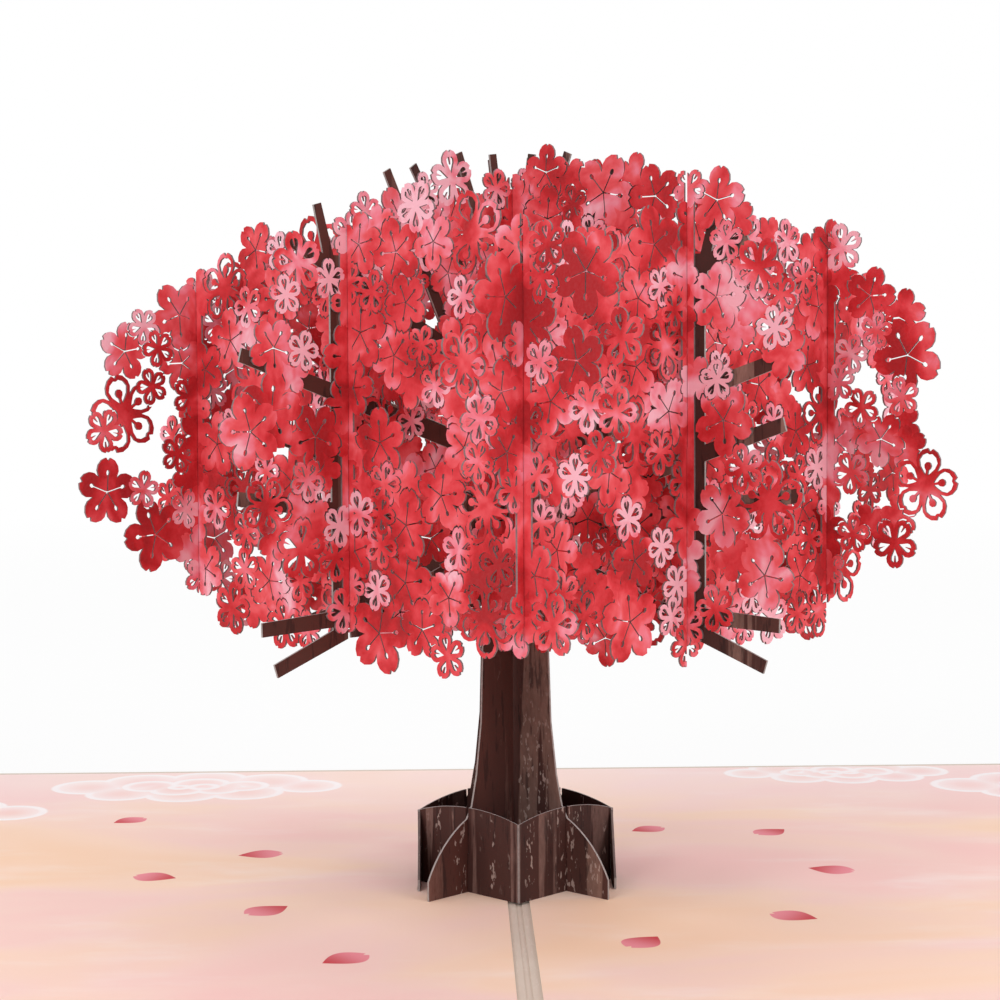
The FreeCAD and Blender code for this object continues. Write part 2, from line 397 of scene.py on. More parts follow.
def ellipse(at, along, across, count):
    angles = [2.0 * pi * k / count for k in range(count)]
    return [(at + along * cos(angle), across * sin(angle)) for angle in angles]


DROP = mirrored([
    (0.20, 0.0), (0.40, 0.09), (0.56, 0.165), (0.68, 0.17), (0.76, 0.09), (0.74, 0.0)])
NEEDLE = [(0.77, -0.035), (0.77, 0.035), (0.50, 0.0)]
BROAD = mirrored([
    (0.24, 0.0), (0.34, 0.11), (0.48, 0.23), (0.64, 0.285), (0.78, 0.215), (0.86, 0.08), (0.83, 0.0)])
SPOON = mirrored([
    (0.20, 0.0), (0.21, 0.03), (0.40, 0.034), (0.46, 0.085), (0.54, 0.105), (0.61, 0.06), (0.63, 0.0)])
EYE = ellipse(0.56, 0.085, 0.06, 8)


def slit(radius):
    """Knife-thin cut from the middle to the eye, as wide on a small blossom as on a large one."""
    half = SLIT_HALF / radius
    return [(0.02, -half), (0.52, -half), (0.52, half), (0.02, half)]


def placed(outline, flower, petal):
    """Outline moved from the unit petal to one petal of a flower."""
    u, z, radius, turn = flower["at"]
    angle = turn + 2.0 * pi * petal / PETALS
    c = radius * cos(angle)
    s = radius * sin(angle)
    return [(u + x * c - y * s, z + x * s + y * c) for x, y in outline]


def petal_curve(lift):
    """Rim of one petal, pushed outwards by lift, which fades to nothing at both ends."""
    points = []
    for angle in PETAL_ANGLES[1:]:
        share = 1.0 - (abs(angle) / PETAL_ANGLES[-1]) ** 4
        edge = petal_edge(angle) + lift * max(share, 0.0)
        points.append((edge * cos(angle), edge * sin(angle)))
    return points


def blossom_outline(flower):
    rim = [(petal_edge(a) * cos(a), petal_edge(a) * sin(a)) for a in PETAL_ANGLES]
    return [point for petal in range(PETALS) for point in placed(rim, flower, petal)]


def crescent(flower, petal):
    """Thin cut just outside one petal, which frees it from the paper around it."""
    inner = petal_curve(0.0)
    outer = petal_curve(CRESCENT_WIDTH / flower["at"][2])
    return placed(inner + list(reversed(outer[1:-1])), flower, petal)


print("points on a blossom's outline:", len(PETAL_ANGLES) * PETALS)

# %% [markdown]
# ## Filling the crown
# The rim is laid out first. Then wide blossoms go in and smaller ones fill what is left, as a
# designer would do it. A last pass walks over the crown on a fine grid and drops a plain blossom on
# every spot that is still bare. Each blossom gets a height, which says how far up it lies where
# several overlap, and a tone, which says which part of the red-to-pink print it takes its colour
# from. Most petals are also freed: a thin cut runs round their tips.

# %% Kinds of blossom and their room
KINDS = {
    "outlined": {"radius": (4.2, 5.2), "apart": 1.35, "tries": 260, "tone": (0.0, 0.34), "lift": 0.0},
    "solid": {"radius": (3.6, 5.0), "apart": 0.74, "tries": 2200, "tone": (0.12, 0.72), "lift": 0.0},
    "cutout": {"radius": (2.6, 3.3), "apart": 0.66, "tries": 2600, "tone": (0.10, 1.35), "lift": 0.7},
}
PLAIN = {"radius": (2.8, 3.6), "apart": 0.50, "tone": (0.12, 0.72), "lift": -1.0}
GAP_HOLD = 0.92
RIM_HEIGHT_WEIGHT = 1.6


def covers(flower, u, z):
    """True where a flower has its petals."""
    at_u, at_z, radius, turn = flower["at"]
    away = hypot(u - at_u, z - at_z)
    if away >= radius:
        return False
    half = pi / PETALS
    angle = (atan2(z - at_z, u - at_u) - turn + half) % (2.0 * pi / PETALS) - half
    return away < radius * petal_edge(angle)


def room_for(u, z, radius, apart, flowers, gaps):
    """True where a blossom keeps clear of the gaps and doesn't sit too deep in another one."""
    for gap_u, gap_z, gap_radius in gaps:
        if hypot(u - gap_u, z - gap_z) < radius * GAP_HOLD + gap_radius:
            return False
    for flower in flowers:
        at_u, at_z, size, _ = flower["at"]
        if hypot(u - at_u, z - at_z) <= apart * (radius + size):
            return False
    return True


def smaller(at, share):
    """A rim blossom made smaller and pushed outwards, so that it reaches as far as before."""
    u, z, radius, turn = at
    outward = Vector((u, RIM_HEIGHT_WEIGHT * (z - CROWN_MIDDLE))).normalized()
    away = outward * radius * (1.0 - share)
    return (u + away.x, z + away.y, radius * share, turn)


print("kinds of blossom:", [*KINDS, "plain"])

# %% Scatter
RIM_KINDS = ("solid", "solid", "outlined", "cutout", "cutout")
RIM_CUTOUT_EVERY = 30
RIM_CUTOUT_SIZE = 0.74

OPENING_RADIUS = 1.4
SMALL_GAPS = {"count": 26, "across": (-46.0, 46.0), "margin": 6.0, "radius": (0.4, 2.1)}
SIDE_GAPS = {"count": 12, "across": (34.0, 45.0), "margin": 10.0, "radius": (0.6, 1.6)}

HEAD_ROOM = 5.0
SCATTER_INSET = 0.9
GRID_STEP = 1.7
FREED_SHARE = 0.8


def rim_flowers(dice, top, foot, phase):
    flowers = []
    for number, at in enumerate(rim_blossoms(top, foot, phase)):
        kind = "cutout" if number % RIM_CUTOUT_EVERY == 0 else dice.choice(RIM_KINDS)
        flowers.append({"at": smaller(at, RIM_CUTOUT_SIZE) if kind == "cutout" else at, "kind": kind})
    return flowers


def random_gap(dice, plan, top, foot):
    """One circle (u, z, radius), which keeps a margin from the crown's top and foot."""
    u = dice.uniform(*plan["across"])
    z = dice.uniform(foot + plan["margin"], top - plan["margin"])
    return u, z, dice.uniform(*plan["radius"])


def open_gaps(dice, top, foot, phase):
    """Circles (u, z, radius) to keep bare: the openings, small gaps anywhere and at both sides."""
    gaps = [(u, z, OPENING_RADIUS) for u, z in openings(top, foot, phase)]
    gaps += [random_gap(dice, SMALL_GAPS, top, foot) for _ in range(SMALL_GAPS["count"])]
    for number in range(SIDE_GAPS["count"]):
        u, z, radius = random_gap(dice, SIDE_GAPS, top, foot)
        gaps.append((-u if number % 2 else u, z, radius))
    return gaps


def scatter(dice, flowers, gaps, top, foot):
    """Tries random places for each kind, large to small."""
    for kind, plan in KINDS.items():
        for _ in range(plan["tries"]):
            radius = dice.uniform(*plan["radius"])
            u = dice.uniform(-CROWN_REACH, CROWN_REACH)
            z = dice.uniform(foot, top + HEAD_ROOM)
            turn = dice.uniform(0.0, 2.0 * pi)
            inside = inside_crown(u, z, top, foot, SCATTER_INSET * radius)
            if inside and room_for(u, z, radius, plan["apart"], flowers, gaps):
                flowers.append({"at": (u, z, radius, turn), "kind": kind})


def cover_bare_spots(dice, flowers, gaps, top, foot):
    """Walks over a shaken grid and puts a plain blossom wherever no other has its petals."""
    for row in range(int((top + HEAD_ROOM - foot) / GRID_STEP)):
        for column in range(int(2.0 * CROWN_REACH / GRID_STEP)):
            u = -CROWN_REACH + GRID_STEP * (column + dice.random())
            z = foot + GRID_STEP * (row + dice.random())
            radius = dice.uniform(*PLAIN["radius"])
            turn = dice.uniform(0.0, 2.0 * pi)
            inside = inside_crown(u, z, top, foot, radius)
            bare = inside and not any(covers(flower, u, z) for flower in flowers)
            if bare and room_for(u, z, radius, PLAIN["apart"], flowers, gaps):
                flowers.append({"at": (u, z, radius, turn), "kind": "plain"})


def fill_crown(top, foot, phase, seed):
    """All blossoms of one sheet."""
    dice = random.Random(seed)
    flowers = rim_flowers(dice, top, foot, phase)
    gaps = open_gaps(dice, top, foot, phase)
    scatter(dice, flowers, gaps, top, foot)
    cover_bare_spots(dice, flowers, gaps, top, foot)
    for flower in flowers:
        plan = KINDS.get(flower["kind"], PLAIN)
        flower["height"] = dice.random() + plan["lift"]
        flower["tone"] = dice.uniform(*plan["tone"])
        flower["freed"] = [plan is not PLAIN and dice.random() < FREED_SHARE for _ in range(PETALS)]
    return flowers


example = fill_crown(INNER_TOP, INNER_FOOT, 0.7, 21)
counts = {kind: sum(flower["kind"] == kind for flower in example) for kind in [*KINDS, "plain"]}
print("blossoms in one crown:", len(example), counts)

# %% [markdown]
# ## Cutting the sheet
# The real sheet is one flat piece of paper with some two thousand cuts. A Boolean modifier for each
# would take minutes and leave splinters. Blender's constrained Delaunay triangulation does the whole
# sheet at once: it takes every outline as a closed loop in the plane and returns triangles that
# never cross a loop, each with the list of the loops it lies in. From that list a triangle is kept
# where the topmost blossom has paper, and dropped where it has a window, a slit or a slot.

# %% Outlines of one sheet
BELOW_SHEETS = -1.0
ABOVE_SHEETS = 125.0
BAND_HEAD_TUCK = 1.0
BAND_HEEL_TUCK = 0.5
BAND_TONE = 0.42


def upright_box(left, right, low, high):
    return [(left, low), (right, low), (right, high), (left, high)]


def slot_outlines(family):
    """Slots at the three crossings, from below in family a and from above in family b.

    At the axis the other family's trunk sheet carries a glued blossom layer, so the slot is wider
    on the side where that layer lies.
    """
    low, high = (BELOW_SHEETS, LAP_HEIGHT) if family == "a" else (LAP_HEIGHT, ABOVE_SHEETS)
    thin = PAPER / 2.0 + SLOT_CLEAR
    thick = thin + PAPER
    found = []
    for at in BANDS:
        before = thick if at == 0.0 and family == "a" else thin
        after = thick if at == 0.0 and family == "b" else thin
        found.append(upright_box(at - before, at + after, low, high))
    return found


def band_outlines(top, foot):
    """Plain strip along each crossing, which carries the slot and ends inside the rim's blossoms."""
    found = []
    for at in BANDS:
        share = (1.0 - abs(at / CROWN_REACH) ** ROUNDNESS) ** (1.0 / ROUNDNESS)
        head = CROWN_MIDDLE + (top - CROWN_MIDDLE) * share + CROWN_LEAN * at
        heel = CROWN_MIDDLE - (CROWN_MIDDLE - foot) * share + FOOT_LEAN * at
        found.append(upright_box(
            at - BAND_HALF, at + BAND_HALF,
            heel + RIM_RADIUS - BAND_HEEL_TUCK, head - RIM_RADIUS + BAND_HEAD_TUCK))
    return found


def petal_cuts(flower):
    """Outlines within each petal of a flower, with what they do."""
    return {
        "solid": [(slit(flower["at"][2]), "window"), (EYE, "window")],
        "cutout": [(DROP, "window"), (NEEDLE, "stamen")],
        "outlined": [(BROAD, "window"), (SPOON, "stamen")],
        "plain": [],
    }[flower["kind"]]


def to_the_left(outline):
    """The same outline, walked with its inside on the left, as the triangulation expects."""
    following = outline[1:] + outline[:1]
    area = sum(a[0] * b[1] - b[0] * a[1] for a, b in zip(outline, following))
    return outline if area > 0.0 else list(reversed(outline))


def all_outlines(flowers, family, top, foot):
    """Every loop of the sheet with what it does: (outline, part, flower number)."""
    loops = [(outline, "slot", -1) for outline in slot_outlines(family)]
    loops += [(outline, "band", -1) for outline in band_outlines(top, foot)]
    for number, flower in enumerate(flowers):
        loops.append((blossom_outline(flower), "paper", number))
        for petal in range(PETALS):
            if flower["freed"][petal]:
                loops.append((crescent(flower, petal), "crescent", number))
            for outline, part in petal_cuts(flower):
                loops.append((placed(outline, flower, petal), part, number))
    return [(to_the_left(outline), part, number) for outline, part, number in loops]


def paper_here(ids, loops, flowers):
    """(tone, crescent) of the paper in one triangle, or None where the sheet is cut away."""
    parts = {loops[k][1:] for k in ids}
    kinds = {part for part, number in parts}
    if "slot" in kinds:
        return None
    papers = [number for part, number in parts if part == "paper"]
    top = max(papers, key=lambda number: flowers[number]["height"], default=None)
    if "band" in kinds:
        return (BAND_TONE if top is None else flowers[top]["tone"]), None
    if top is None:
        return None
    if ("window", top) in parts and ("stamen", top) not in parts:
        return None
    crescents = [k for k in ids if loops[k][1] == "crescent"]
    height = flowers[top]["height"]
    above = [k for k in crescents if flowers[loops[k][2]]["height"] > height]
    return flowers[top]["tone"], min(above, default=None)


print("loops on one sheet:", len(all_outlines(example, "a", INNER_TOP, INNER_FOOT)))

# %% [markdown]
# ## Keeping the sheet in one piece
# A cut round every petal would drop blossoms on the floor. A designer leaves small bridges, and so
# does this cell: it joins all triangles that no crescent touches into groups, then takes the
# crescents one after another and cuts only those that don't part two groups. What hangs on nothing
# even then is dropped.

# %% Groups of triangles
class Groups:
    """Sets of triangles that hang together."""

    def __init__(self, count):
        self.parent = list(range(count))

    def head(self, k):
        while self.parent[k] != k:
            self.parent[k] = self.parent[self.parent[k]]
            k = self.parent[k]
        return k

    def join(self, a, b):
        self.parent[self.head(a)] = self.head(b)


def neighbours(triangles):
    """For each triangle, the numbers of those that share an edge with it."""
    by_edge = {}
    beside = [[] for _ in triangles]
    for k, corners in enumerate(triangles):
        for a, b in zip(corners, corners[1:] + corners[:1]):
            other = by_edge.pop((b, a), None)
            if other is None:
                by_edge[(a, b)] = k
            else:
                beside[k].append(other)
                beside[other].append(k)
    return beside


def held_together(triangles, papers):
    """Numbers of the triangles that make the finished sheet, and how many were dropped."""
    beside = neighbours(triangles)
    groups = Groups(len(triangles))
    solid = {k for k, paper in enumerate(papers) if paper and paper[1] is None}
    for k in solid:
        for other in beside[k]:
            if other in solid:
                groups.join(k, other)
    cuts = {}
    for k, paper in enumerate(papers):
        if paper and paper[1] is not None:
            cuts.setdefault(paper[1], []).append(k)
    for cut in sorted(cuts):
        touched = {groups.head(other) for k in cuts[cut] for other in beside[k] if other in solid}
        if len(touched) > 1:
            for k in cuts[cut]:
                solid.add(k)
                for other in beside[k]:
                    if other in solid:
                        groups.join(k, other)
    sizes = {}
    for k in solid:
        sizes[groups.head(k)] = sizes.get(groups.head(k), 0) + 1
    largest = max(sizes, key=sizes.get)
    kept = [k for k in sorted(solid) if groups.head(k) == largest]
    return kept, len(solid) - sizes[largest]


print("neighbours of two triangles on one edge:", neighbours([[0, 1, 2], [2, 1, 3]]))

# %% [markdown]
# ## From loops to a sheet of paper
# The kept triangles are laid out upright in one plane, turned by 45 degrees, as every sheet of the
# tree crosses the fold, and moved to the sheet's place. Each face keeps its blossom's tone in an
# attribute, because the print needs it. The flat sheet gets its thickness later from a Solidify
# modifier, which also makes the walls of every cut.

# %% Cut one sheet
INSIDE_ONLY = 1
JOIN_CLOSER_THAN = 1e-4
CROSSES_FOLD_AT = radians(45.0)


def stand(family, place):
    """Matrix that turns a sheet across the fold and moves it to its place, counted in pitches."""
    step = place * PITCH_OF_SHEETS / sqrt(2.0) * MM
    turn = Matrix.Rotation(CROSSES_FOLD_AT if family == "a" else -CROSSES_FOLD_AT, 4, "Z")
    return Matrix.Translation((-step if family == "a" else step, step, 0.0)) @ turn


def cut_sheet(name, family, place, top, foot, phase, front, seed):
    """One blossom sheet; front is how far its front face lies from the sheet's plane."""
    flowers = fill_crown(top, foot, phase, seed)
    loops = all_outlines(flowers, family, top, foot)
    points = []
    faces = []
    for outline, _, _ in loops:
        faces.append(list(range(len(points), len(points) + len(outline))))
        points += [Vector(point) for point in outline]
    spots, _, triangles, _, _, inside = delaunay_2d_cdt(
        points, [], faces, INSIDE_ONLY, JOIN_CLOSER_THAN, True)
    papers = [paper_here(ids, loops, flowers) for ids in inside]
    kept, dropped = held_together(triangles, papers)
    form = bmesh.new()
    corners = [form.verts.new((u * MM, front * MM, (CARD_TOP + z) * MM)) for u, z in spots]
    tone = form.faces.layers.float.new("tone")
    for k in kept:
        form.faces.new([corners[corner] for corner in triangles[k]])[tone] = papers[k][0]
    bmesh.ops.delete(form, geom=[v for v in form.verts if not v.link_faces], context="VERTS")
    bmesh.ops.transform(form, matrix=stand(family, place), verts=form.verts)
    mesh = bpy.data.meshes.new(name)
    form.to_mesh(mesh)
    form.free()
    piece = bpy.data.objects.new(name, mesh)
    bpy.context.scene.collection.objects.link(piece)
    print(name, "blossoms", len(flowers), "triangles", len(mesh.polygons), "dropped", dropped)
    return piece


print("a back sheet's place in mm:", [round(c / MM, 2) for c in stand("a", 1).translation])

# %% [markdown]
# ## The blossom print
# The print is a wash of watercolour that runs across the whole sheet from deep red through coral to
# pink, with smaller pools of lighter and darker pigment. A noise in object coordinates gives the
# wash, the blossom's own tone shifts it, and a ramp turns the sum into paint. The cut edge is bare
# paper that the laser has browned, so it gets a material of its own.

# %% Blossom print and cut edge
FINE_RELIEF = 0.00002
COARSE_RELIEF = 0.00003


def blossom_print():
    sheet = Print("blossom_print", 0.68)
    tone = sheet.add("ShaderNodeAttribute", {"attribute_name": "tone"}, {}, "Fac")
    wash = sheet.noise(sheet.place, 95.0, 3.0, 0.55, 0.6)
    pool = sheet.noise(sheet.place, 260.0, 2.0, 0.5, 1.2)
    share = 0.14 + tone * 0.70 + (wash - 0.5) * 2.5 + (pool - 0.5) * 0.6
    paint = sheet.ramp(share, [
        (0.0, colour("#ac0410")), (0.20, colour("#c8101b")), (0.40, colour("#e0353e")),
        (0.58, colour("#ee575e")), (0.76, colour("#f58294")), (1.0, colour("#fbbcc9"))])
    grain = sheet.noise(sheet.place, 2600.0, 2.0)
    dust = sheet.mix(grain, colour("#c03038"), colour("#ffd9de"))
    sheet.paint(sheet.mix(0.05, paint, dust))
    sheet.emboss(grain, FINE_RELIEF)
    return sheet.material


def cut_edge():
    sheet = Print("paper_edge", 0.85)
    fibre = sheet.noise(sheet.place, 1800.0, 3.0)
    sheet.paint(sheet.mix(fibre, colour("#6a5052"), colour("#a48c8d")))
    return sheet.material


petal_paper = blossom_print()
bare_edge = cut_edge()
print("blossom print has", len(petal_paper.node_tree.nodes), "nodes")

# %% [markdown]
# ## The six blossom sheets
# Family a crosses the fold one way and family b the other. The two sheets at the axis are taller,
# and each is glued on the front of a trunk sheet, so it lies one thickness further forward. The
# four others stand one pitch in front of the axis or behind it.

# %% Cut and place the six sheets
MIDDLE_OF_SHEET = -0.5 * PAPER
GLUED_IN_FRONT = -1.5 * PAPER

# Node, family, place in pitches, top, foot, phase of its rim, front face and seed
SHEETS = [
    ("blossom_layer_a", "a", 0, INNER_TOP, INNER_FOOT, 0.7, GLUED_IN_FRONT, 21),
    ("blossom_sheet_a_front", "a", -1, OUTER_TOP, OUTER_FOOT, 2.5, MIDDLE_OF_SHEET, 22),
    ("blossom_sheet_a_back", "a", 1, OUTER_TOP, OUTER_FOOT, 4.1, MIDDLE_OF_SHEET, 23),
    ("blossom_layer_b", "b", 0, INNER_TOP, INNER_FOOT, 2.6, GLUED_IN_FRONT, 24),
    ("blossom_sheet_b_front", "b", -1, OUTER_TOP, OUTER_FOOT, 3.8, MIDDLE_OF_SHEET, 25),
    ("blossom_sheet_b_back", "b", 1, OUTER_TOP, OUTER_FOOT, 5.4, MIDDLE_OF_SHEET, 26),
]

for node, *plan in SHEETS:
    piece = cut_sheet("cut_" + node, *plan)
    piece.data.materials.append(petal_paper)
    piece.data.materials.append(bare_edge)
    thickness = piece.modifiers.new("thickness", "SOLIDIFY")
    thickness.thickness = PAPER * MM
    thickness.offset = -1.0
    thickness.material_offset_rim = 1
    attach(piece, "root")
    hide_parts(node)

# %% [markdown]
# ## Bark
# The trunk, limbs and collar are printed as dark brown bark: long upright stripes, some of them a
# lighter mauve brown, and pale specks low down. Noise that is squeezed sideways and stretched
# upwards makes stripes on any upright sheet. A cut edge faces another way than the sheet does, so
# its bare paper is found from the surface's own direction.

# %% Bark print
SPECKS_FROM = 0.012
NO_SPECKS_ABOVE = 0.036


def bark_print(name, base, light, share, edges):
    """share says how much of a stripe is light, and edges works out a mask of the cut edges."""
    sheet = Print(name, 0.7)
    upright = sheet.scaled(sheet.place, (1.0, 1.0, 0.045))
    broad = sheet.noise(upright, 230.0, 1.0, 0.4)
    fine = sheet.noise(upright, 1100.0, 3.0, 0.6)
    stripes = (broad * 0.8 + fine * 0.2).fade(0.54, 0.57)
    rough = sheet.noise(sheet.scaled(sheet.place, (1.0, 1.0, 0.35)), 1100.0, 4.0, 0.7)
    paint = sheet.mix(stripes * (share + (rough - 0.5) * 1.2), colour(base), colour(light))
    shade = sheet.noise(upright, 130.0, 1.0).fade(0.40, 0.60)
    paint = sheet.mix(shade * 0.4, paint, colour("#2a1614"))
    cracks = sheet.noise(sheet.scaled(sheet.place, (1.0, 1.0, 0.14)), 1000.0, 3.0, 0.65)
    paint = sheet.mix(cracks.fade(0.57, 0.64) * 0.6, paint, colour("#241210"))
    flecks = sheet.noise(sheet.scaled(sheet.place, (1.0, 1.0, 0.45)), 1700.0, 2.0, 0.6)
    columns = sheet.noise(upright, 330.0, 1.0)
    low = 1.0 - sheet.dot(sheet.place, (0.0, 0.0, 1.0)).fade(SPECKS_FROM, NO_SPECKS_ABOVE)
    specks = flecks.fade(0.58, 0.64) * columns.fade(0.52, 0.60) * low
    paint = sheet.mix(specks * 0.6, paint, colour("#bda79f"))
    fibre = sheet.noise(sheet.place, 1800.0, 2.0)
    bare = sheet.mix(fibre, colour("#857a78"), colour("#bdb4b1"))
    sheet.paint(sheet.mix(edges(sheet), paint, bare))
    sheet.emboss(sheet.noise(sheet.place, 2600.0, 2.0), FINE_RELIEF)
    return sheet.material


def facing_mask(direction):
    """1 on faces that don't look along a sheet's own direction."""
    return lambda sheet: 1.0 - sheet.dot(sheet.normal, direction).size().fade(0.6, 0.8)


def collar_mask(sheet):
    """1 on the collar's level edges and the ends of its tabs, and less on its worn folds."""
    level = sheet.dot(sheet.normal, (0.0, 0.0, 1.0)).size()
    along = sheet.dot(sheet.normal, (0.0, 1.0, 0.0)).size()
    fold = 1.0 - sheet.dot(sheet.place, (1.0, 0.0, 0.0)).size().fade(0.00008, 0.00022)
    return level.fade(0.5, 0.7).most(along.fade(0.85, 0.95)).most(fold * 0.65)


HALF = sqrt(0.5)
BARKS = {
    "trunk_sheet_a": bark_print(
        "bark_a", "#522c25", "#805a50", 0.45, facing_mask((HALF, -HALF, 0.0))),
    "trunk_sheet_b": bark_print(
        "bark_b", "#50302a", "#9c7a6e", 0.75, facing_mask((-HALF, -HALF, 0.0))),
    "root_ring_front": bark_print("bark_collar", "#452722", "#8a6a62", 0.60, collar_mask),
}
BARKS["root_ring_back"] = BARKS["root_ring_front"]
for node, material in BARKS.items():
    dress(node, material)
print("bark on", len(BARKS), "sheets")

# %% [markdown]
# ## The printed panels
# The panels show a sunrise wash of peach and rose, pale scrolling clouds near the corners and loose
# petals drifting on the ground. Both motifs are drawn with distances. A cloud is a union of circles,
# with a white line along its rim and a glow that fades inwards, and two smaller ones lie inside it.
# A petal is as wide as a lopsided parabola says at each step along it, with a bite taken out of its
# tip. The print stops a little short of the outer edges, as it does where a printed sheet is
# trimmed.

# %% Panel print
MARGIN = 1.2
panel_low, panel_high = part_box("inner_panel_right")
panels_across = 2.0 * panel_high[0]
panels_along = panel_high[1] - panel_low[1]

# Bodies of a cloud of size 1: circles as x, y and radius, then how far its glow fades inwards
CLOUD_BODIES = [
    ([(-1.40, 0.02, 0.40), (-0.90, 0.34, 0.48), (-0.15, 0.48, 0.50), (0.60, 0.36, 0.50),
      (1.20, 0.08, 0.44), (0.75, -0.34, 0.42), (0.02, -0.44, 0.44), (-0.70, -0.34, 0.44),
      (0.0, 0.0, 0.70)], 0.42),
    ([(-0.62, 0.06, 0.32), (-0.10, 0.22, 0.36), (0.48, 0.10, 0.34), (0.12, -0.14, 0.34),
      (-0.35, -0.12, 0.30)], 0.28),
    ([(-0.16, 0.04, 0.20), (0.12, 0.02, 0.15)], 0.14),
]

# Each cloud as x, y, size and -1 where it is mirrored
CLOUDS = [
    (-100.0, 50.0, 14.0, 1), (-56.0, 72.0, 15.0, -1), (-112.0, 80.0, 12.0, 1),
    (62.0, 80.0, 12.0, 1), (100.0, 66.0, 15.0, -1), (118.0, 34.0, 13.0, 1),
    (92.0, -70.0, 14.0, 1), (-104.0, -52.0, 14.0, -1), (-70.0, -80.0, 12.0, 1),
]

# Each loose petal as x, y, turn in degrees and length
LOOSE_PETALS = [
    (-38.0, 18.0, 12.0, 7.0), (-52.0, 4.0, 164.0, 6.8), (-34.0, -16.0, -140.0, 7.0),
    (-22.0, -40.0, 36.0, 6.8), (15.0, -34.0, 230.0, 6.6), (36.0, -22.0, 150.0, 6.8),
    (46.0, 4.0, -20.0, 7.0), (41.0, 30.0, 216.0, 6.4), (22.0, 33.0, 28.0, 6.2),
    (-76.0, -30.0, 50.0, 6.8), (72.0, -48.0, 130.0, 6.8), (-62.0, 44.0, 40.0, 6.2),
]


def petal_mark(sheet, x, y, turn, length):
    """Mask of one printed petal, and how far along it a point lies from 0 to 1."""
    c, s = cos(turn), sin(turn)
    share = (sheet.dot(sheet.place, (c, s, 0.0)) - (x * c + y * s) * MM) / (length * MM) + 0.5
    aside = (sheet.dot(sheet.place, (-s, c, 0.0)) - (y * c - x * s) * MM).size() / (length * MM)
    room = share * (1.0 - share) * (1.0 + share.most(0.0)) - aside
    bite = aside - (share - 0.88) * 0.7
    return room.fade(-0.012, 0.012) * bite.fade(-0.01, 0.01), share


def union_depth(sheet, flat, lobes):
    """How deep a point lies inside a union of circles, in metres, negative outside."""
    depth = None
    for x, y, radius in lobes:
        one = radius * MM - sheet.distance(flat, (x * MM, y * MM, 0.0))
        depth = one if depth is None else depth.most(one)
    return depth


def cloud_mark(sheet, flat, x, y, size, flip):
    """Scrolling cloud: bodies one inside the other, each bright at its rim and fading inwards."""
    mark = None
    for lobes, soft in CLOUD_BODIES:
        circles = [(x + flip * size * a, y + size * b, size * r) for a, b, r in lobes]
        depth = union_depth(sheet, flat, circles)
        inside = depth.fade(-0.0003, 0.0003)
        line = inside * (1.0 - depth.fade(0.0009, 0.0024))
        glow = inside * (1.0 - depth.fade(0.0, soft * size * MM)) * 0.7
        body = line.most(glow)
        mark = body if mark is None else mark.most(body)
    return mark


def printed_area(sheet):
    """1 on the panels' upper faces, up to the unprinted margin."""
    level = sheet.dot(sheet.normal, (0.0, 0.0, 1.0)).fade(0.5, 0.7)
    across, along = [
        sheet.dot(sheet.place, axis).size() - (reach / 2.0 - MARGIN * MM)
        for axis, reach in (((1.0, 0.0, 0.0), panels_across), ((0.0, 1.0, 0.0), panels_along))]
    return level * (1.0 - across.most(along).fade(-0.00005, 0.00005))


def panel_print():
    sheet = Print("inner_print", 0.66)
    flat = sheet.scaled(sheet.place, (1.0, 1.0, 0.0))
    wide = sheet.noise(sheet.scaled(flat, (0.55, 1.0, 1.0)), 22.0, 3.0, 0.55, 0.4)
    wisps = sheet.noise(sheet.scaled(flat, (0.35, 1.0, 1.0)), 70.0, 4.0, 0.6, 0.3)
    paint = sheet.ramp(wide.fade(0.30, 0.72), [
        (0.0, colour("#f8cbc6")), (0.34, colour("#f9d6cc")),
        (0.64, colour("#fbdac4")), (1.0, colour("#f9d3b4"))])
    paint = sheet.mix(wisps.fade(0.50, 0.85) * 0.6, paint, colour("#fff3ef"))
    back = sheet.dot(flat, (0.0, 1.0, 0.0)).fade(0.030, 0.085)
    paint = sheet.mix(back * 0.5, paint, colour("#fdeaeb"))
    for cloud in CLOUDS:
        paint = sheet.mix(cloud_mark(sheet, flat, *cloud) * 0.9, paint, colour("#fffafb"))
    for x, y, turn, length in LOOSE_PETALS:
        mask, share = petal_mark(sheet, x, y, radians(turn), length)
        petal_paint = sheet.mix(share.fade(0.0, 0.9), colour("#c8363f"), colour("#ec8f9a"))
        paint = sheet.mix(mask, paint, petal_paint)
    fibre = sheet.noise(sheet.place, 1800.0, 2.0)
    bare = sheet.mix(fibre, colour("#cdbfb0"), colour("#ddd0c3"))
    sheet.paint(sheet.mix(printed_area(sheet), bare, paint))
    sheet.emboss(fibre, FINE_RELIEF)
    return sheet.material


panel = panel_print()
dress("inner_panel_left", panel)
dress("inner_panel_right", panel)
print("panel print has", len(panel.node_tree.nodes), "nodes")

# %% [markdown]
# ## Cover stock
# The bare card shows in the gap along the fold, in a narrow border and on the outside of the cover.
# It is a taupe stock with a soft mottle and short fibres, which lie along the fold.

# %% Cover
def cover_print():
    sheet = Print("cover_board", 0.8)
    mottle = sheet.noise(sheet.place, 160.0, 4.0, 0.6)
    fibre = sheet.noise(sheet.scaled(sheet.place, (1.0, 0.25, 1.0)), 2200.0, 3.0)
    paint = sheet.mix(mottle, colour("#cfbfb0"), colour("#dfd1c3"))
    paint = sheet.mix(fibre.fade(0.55, 0.75) * 0.35, paint, colour("#e9dfd4"))
    sheet.paint(paint)
    sheet.emboss(fibre, COARSE_RELIEF)
    return sheet.material


cover = cover_print()
dress("card_cover", cover)
print("cover stock has", len(cover.node_tree.nodes), "nodes")

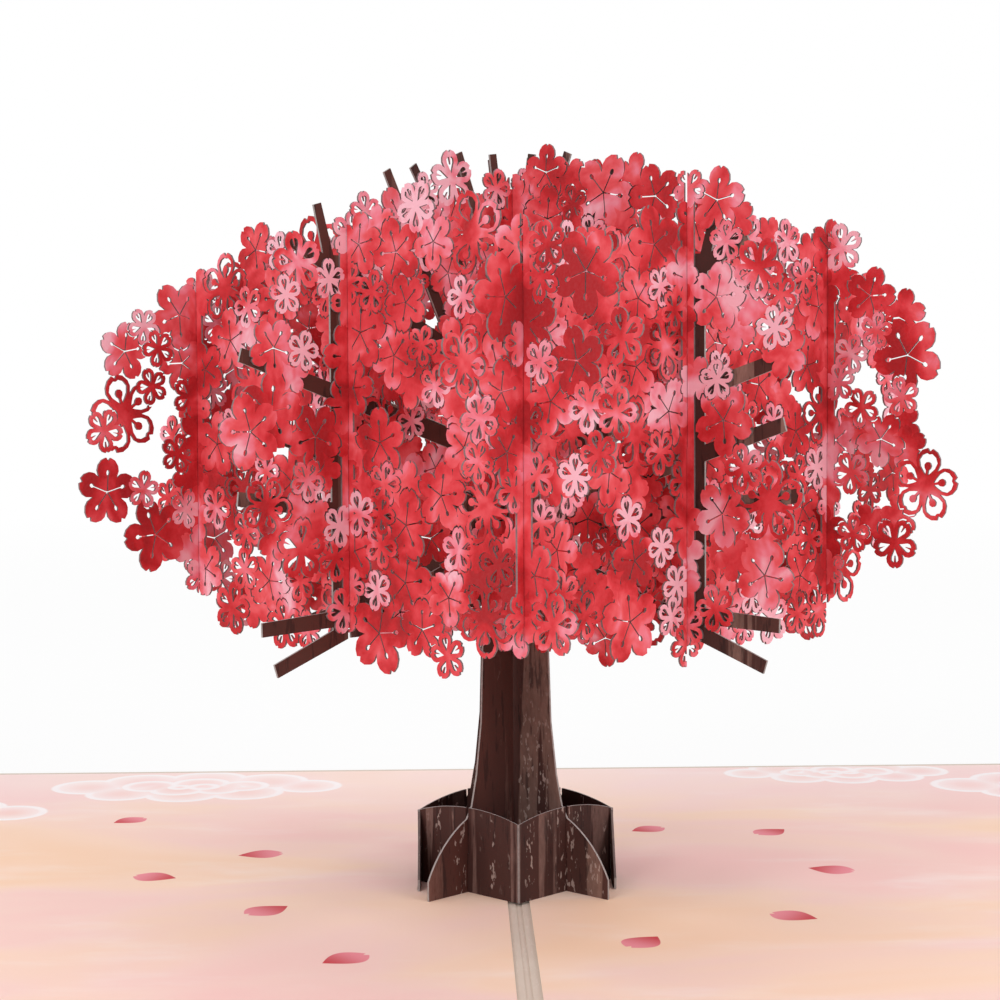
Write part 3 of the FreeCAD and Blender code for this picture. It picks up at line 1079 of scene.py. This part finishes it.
# %% [markdown]
# ## Floor
# The card was photographed in a white room. A wide floor catches its shadow, and further out it
# melts into the white of the world, so that no horizon shows. It is painted partly plain white, but
# only for rays that come from the camera or from a gloss, so it doesn't light the card as a lamp
# would.

# %% Floor
FLOOR_HALF = 4.0
WHITE = (1.0, 1.0, 1.0, 1.0)
NEAR_WHITE = 0.86
MELTS_FROM = 0.15
MELTED_AT = 1.1


def floor_material():
    sheet = Print("pale_floor", 0.9)
    grain = sheet.noise(sheet.place, 300.0, 3.0)
    sheet.paint(sheet.mix(grain, (0.88, 0.88, 0.88, 1.0), (0.92, 0.92, 0.92, 1.0)))
    white = sheet.add("ShaderNodeEmission", {}, {"Color": WHITE, "Strength": 1.0})
    away = sheet.distance(sheet.place, (0.0, 0.0, 0.0)).fade(MELTS_FROM, MELTED_AT)
    share = sheet.seen_white() * (NEAR_WHITE + away * (1.0 - NEAR_WHITE))
    shaded = Value(sheet, sheet.shader.outputs["BSDF"])
    join = sheet.add("ShaderNodeMixShader", {}, {0: share, 1: shaded, 2: white})
    sheet.feed(sheet.tree.nodes["Material Output"].inputs["Surface"], join)
    return sheet.material


form = bmesh.new()
bmesh.ops.create_grid(form, x_segments=1, y_segments=1, size=FLOOR_HALF)
mesh = bpy.data.meshes.new("floor")
form.to_mesh(mesh)
form.free()
floor = bpy.data.objects.new("floor", mesh)
floor.data.materials.append(floor_material())
bpy.context.scene.collection.objects.link(floor)
print("floor is", 2.0 * FLOOR_HALF, "m wide")

# %% [markdown]
# ## Light and background
# The walls are plain white to the camera and a little dimmer as a source of light, which leaves room
# for three soft lamps. They stand where a studio's windows and ceiling light would be, and give the
# sheets their brighter and darker sides.

# %% World and lamps
ROOM_LIGHT = 0.62
world = bpy.data.worlds.new("white_room")
bpy.context.scene.world = world
room = Wiring(world)
sky = room.tree.nodes["Background"]
sky.inputs["Color"].default_value = WHITE
room.feed(sky.inputs["Strength"], ROOM_LIGHT + room.seen_white() * (1.0 - ROOM_LIGHT))


def lamp(name, at, target, size, power):
    """Round soft lamp at a point, aimed at another; metres and watts."""
    light = bpy.data.lights.new(name, "AREA")
    light.shape = "DISK"
    light.size = size
    light.energy = power
    holder = bpy.data.objects.new(name, light)
    holder.location = Vector(at)
    holder.rotation_euler = (Vector(target) - Vector(at)).to_track_quat("-Z", "Y").to_euler()
    bpy.context.scene.collection.objects.link(holder)


lamp("window_left", (-0.7, -0.9, 0.7), (0.0, 0.0, 0.05), 0.6, 4.4)
lamp("window_right", (0.8, -0.7, 0.5), (0.0, 0.0, 0.05), 0.6, 3.2)
lamp("ceiling", (0.0, 0.2, 1.1), (0.0, 0.0, 0.0), 0.9, 3.0)
bpy.context.scene.view_settings.view_transform = "Standard"
print("lamps:", [light.name for light in bpy.data.lights])

# %% [markdown]
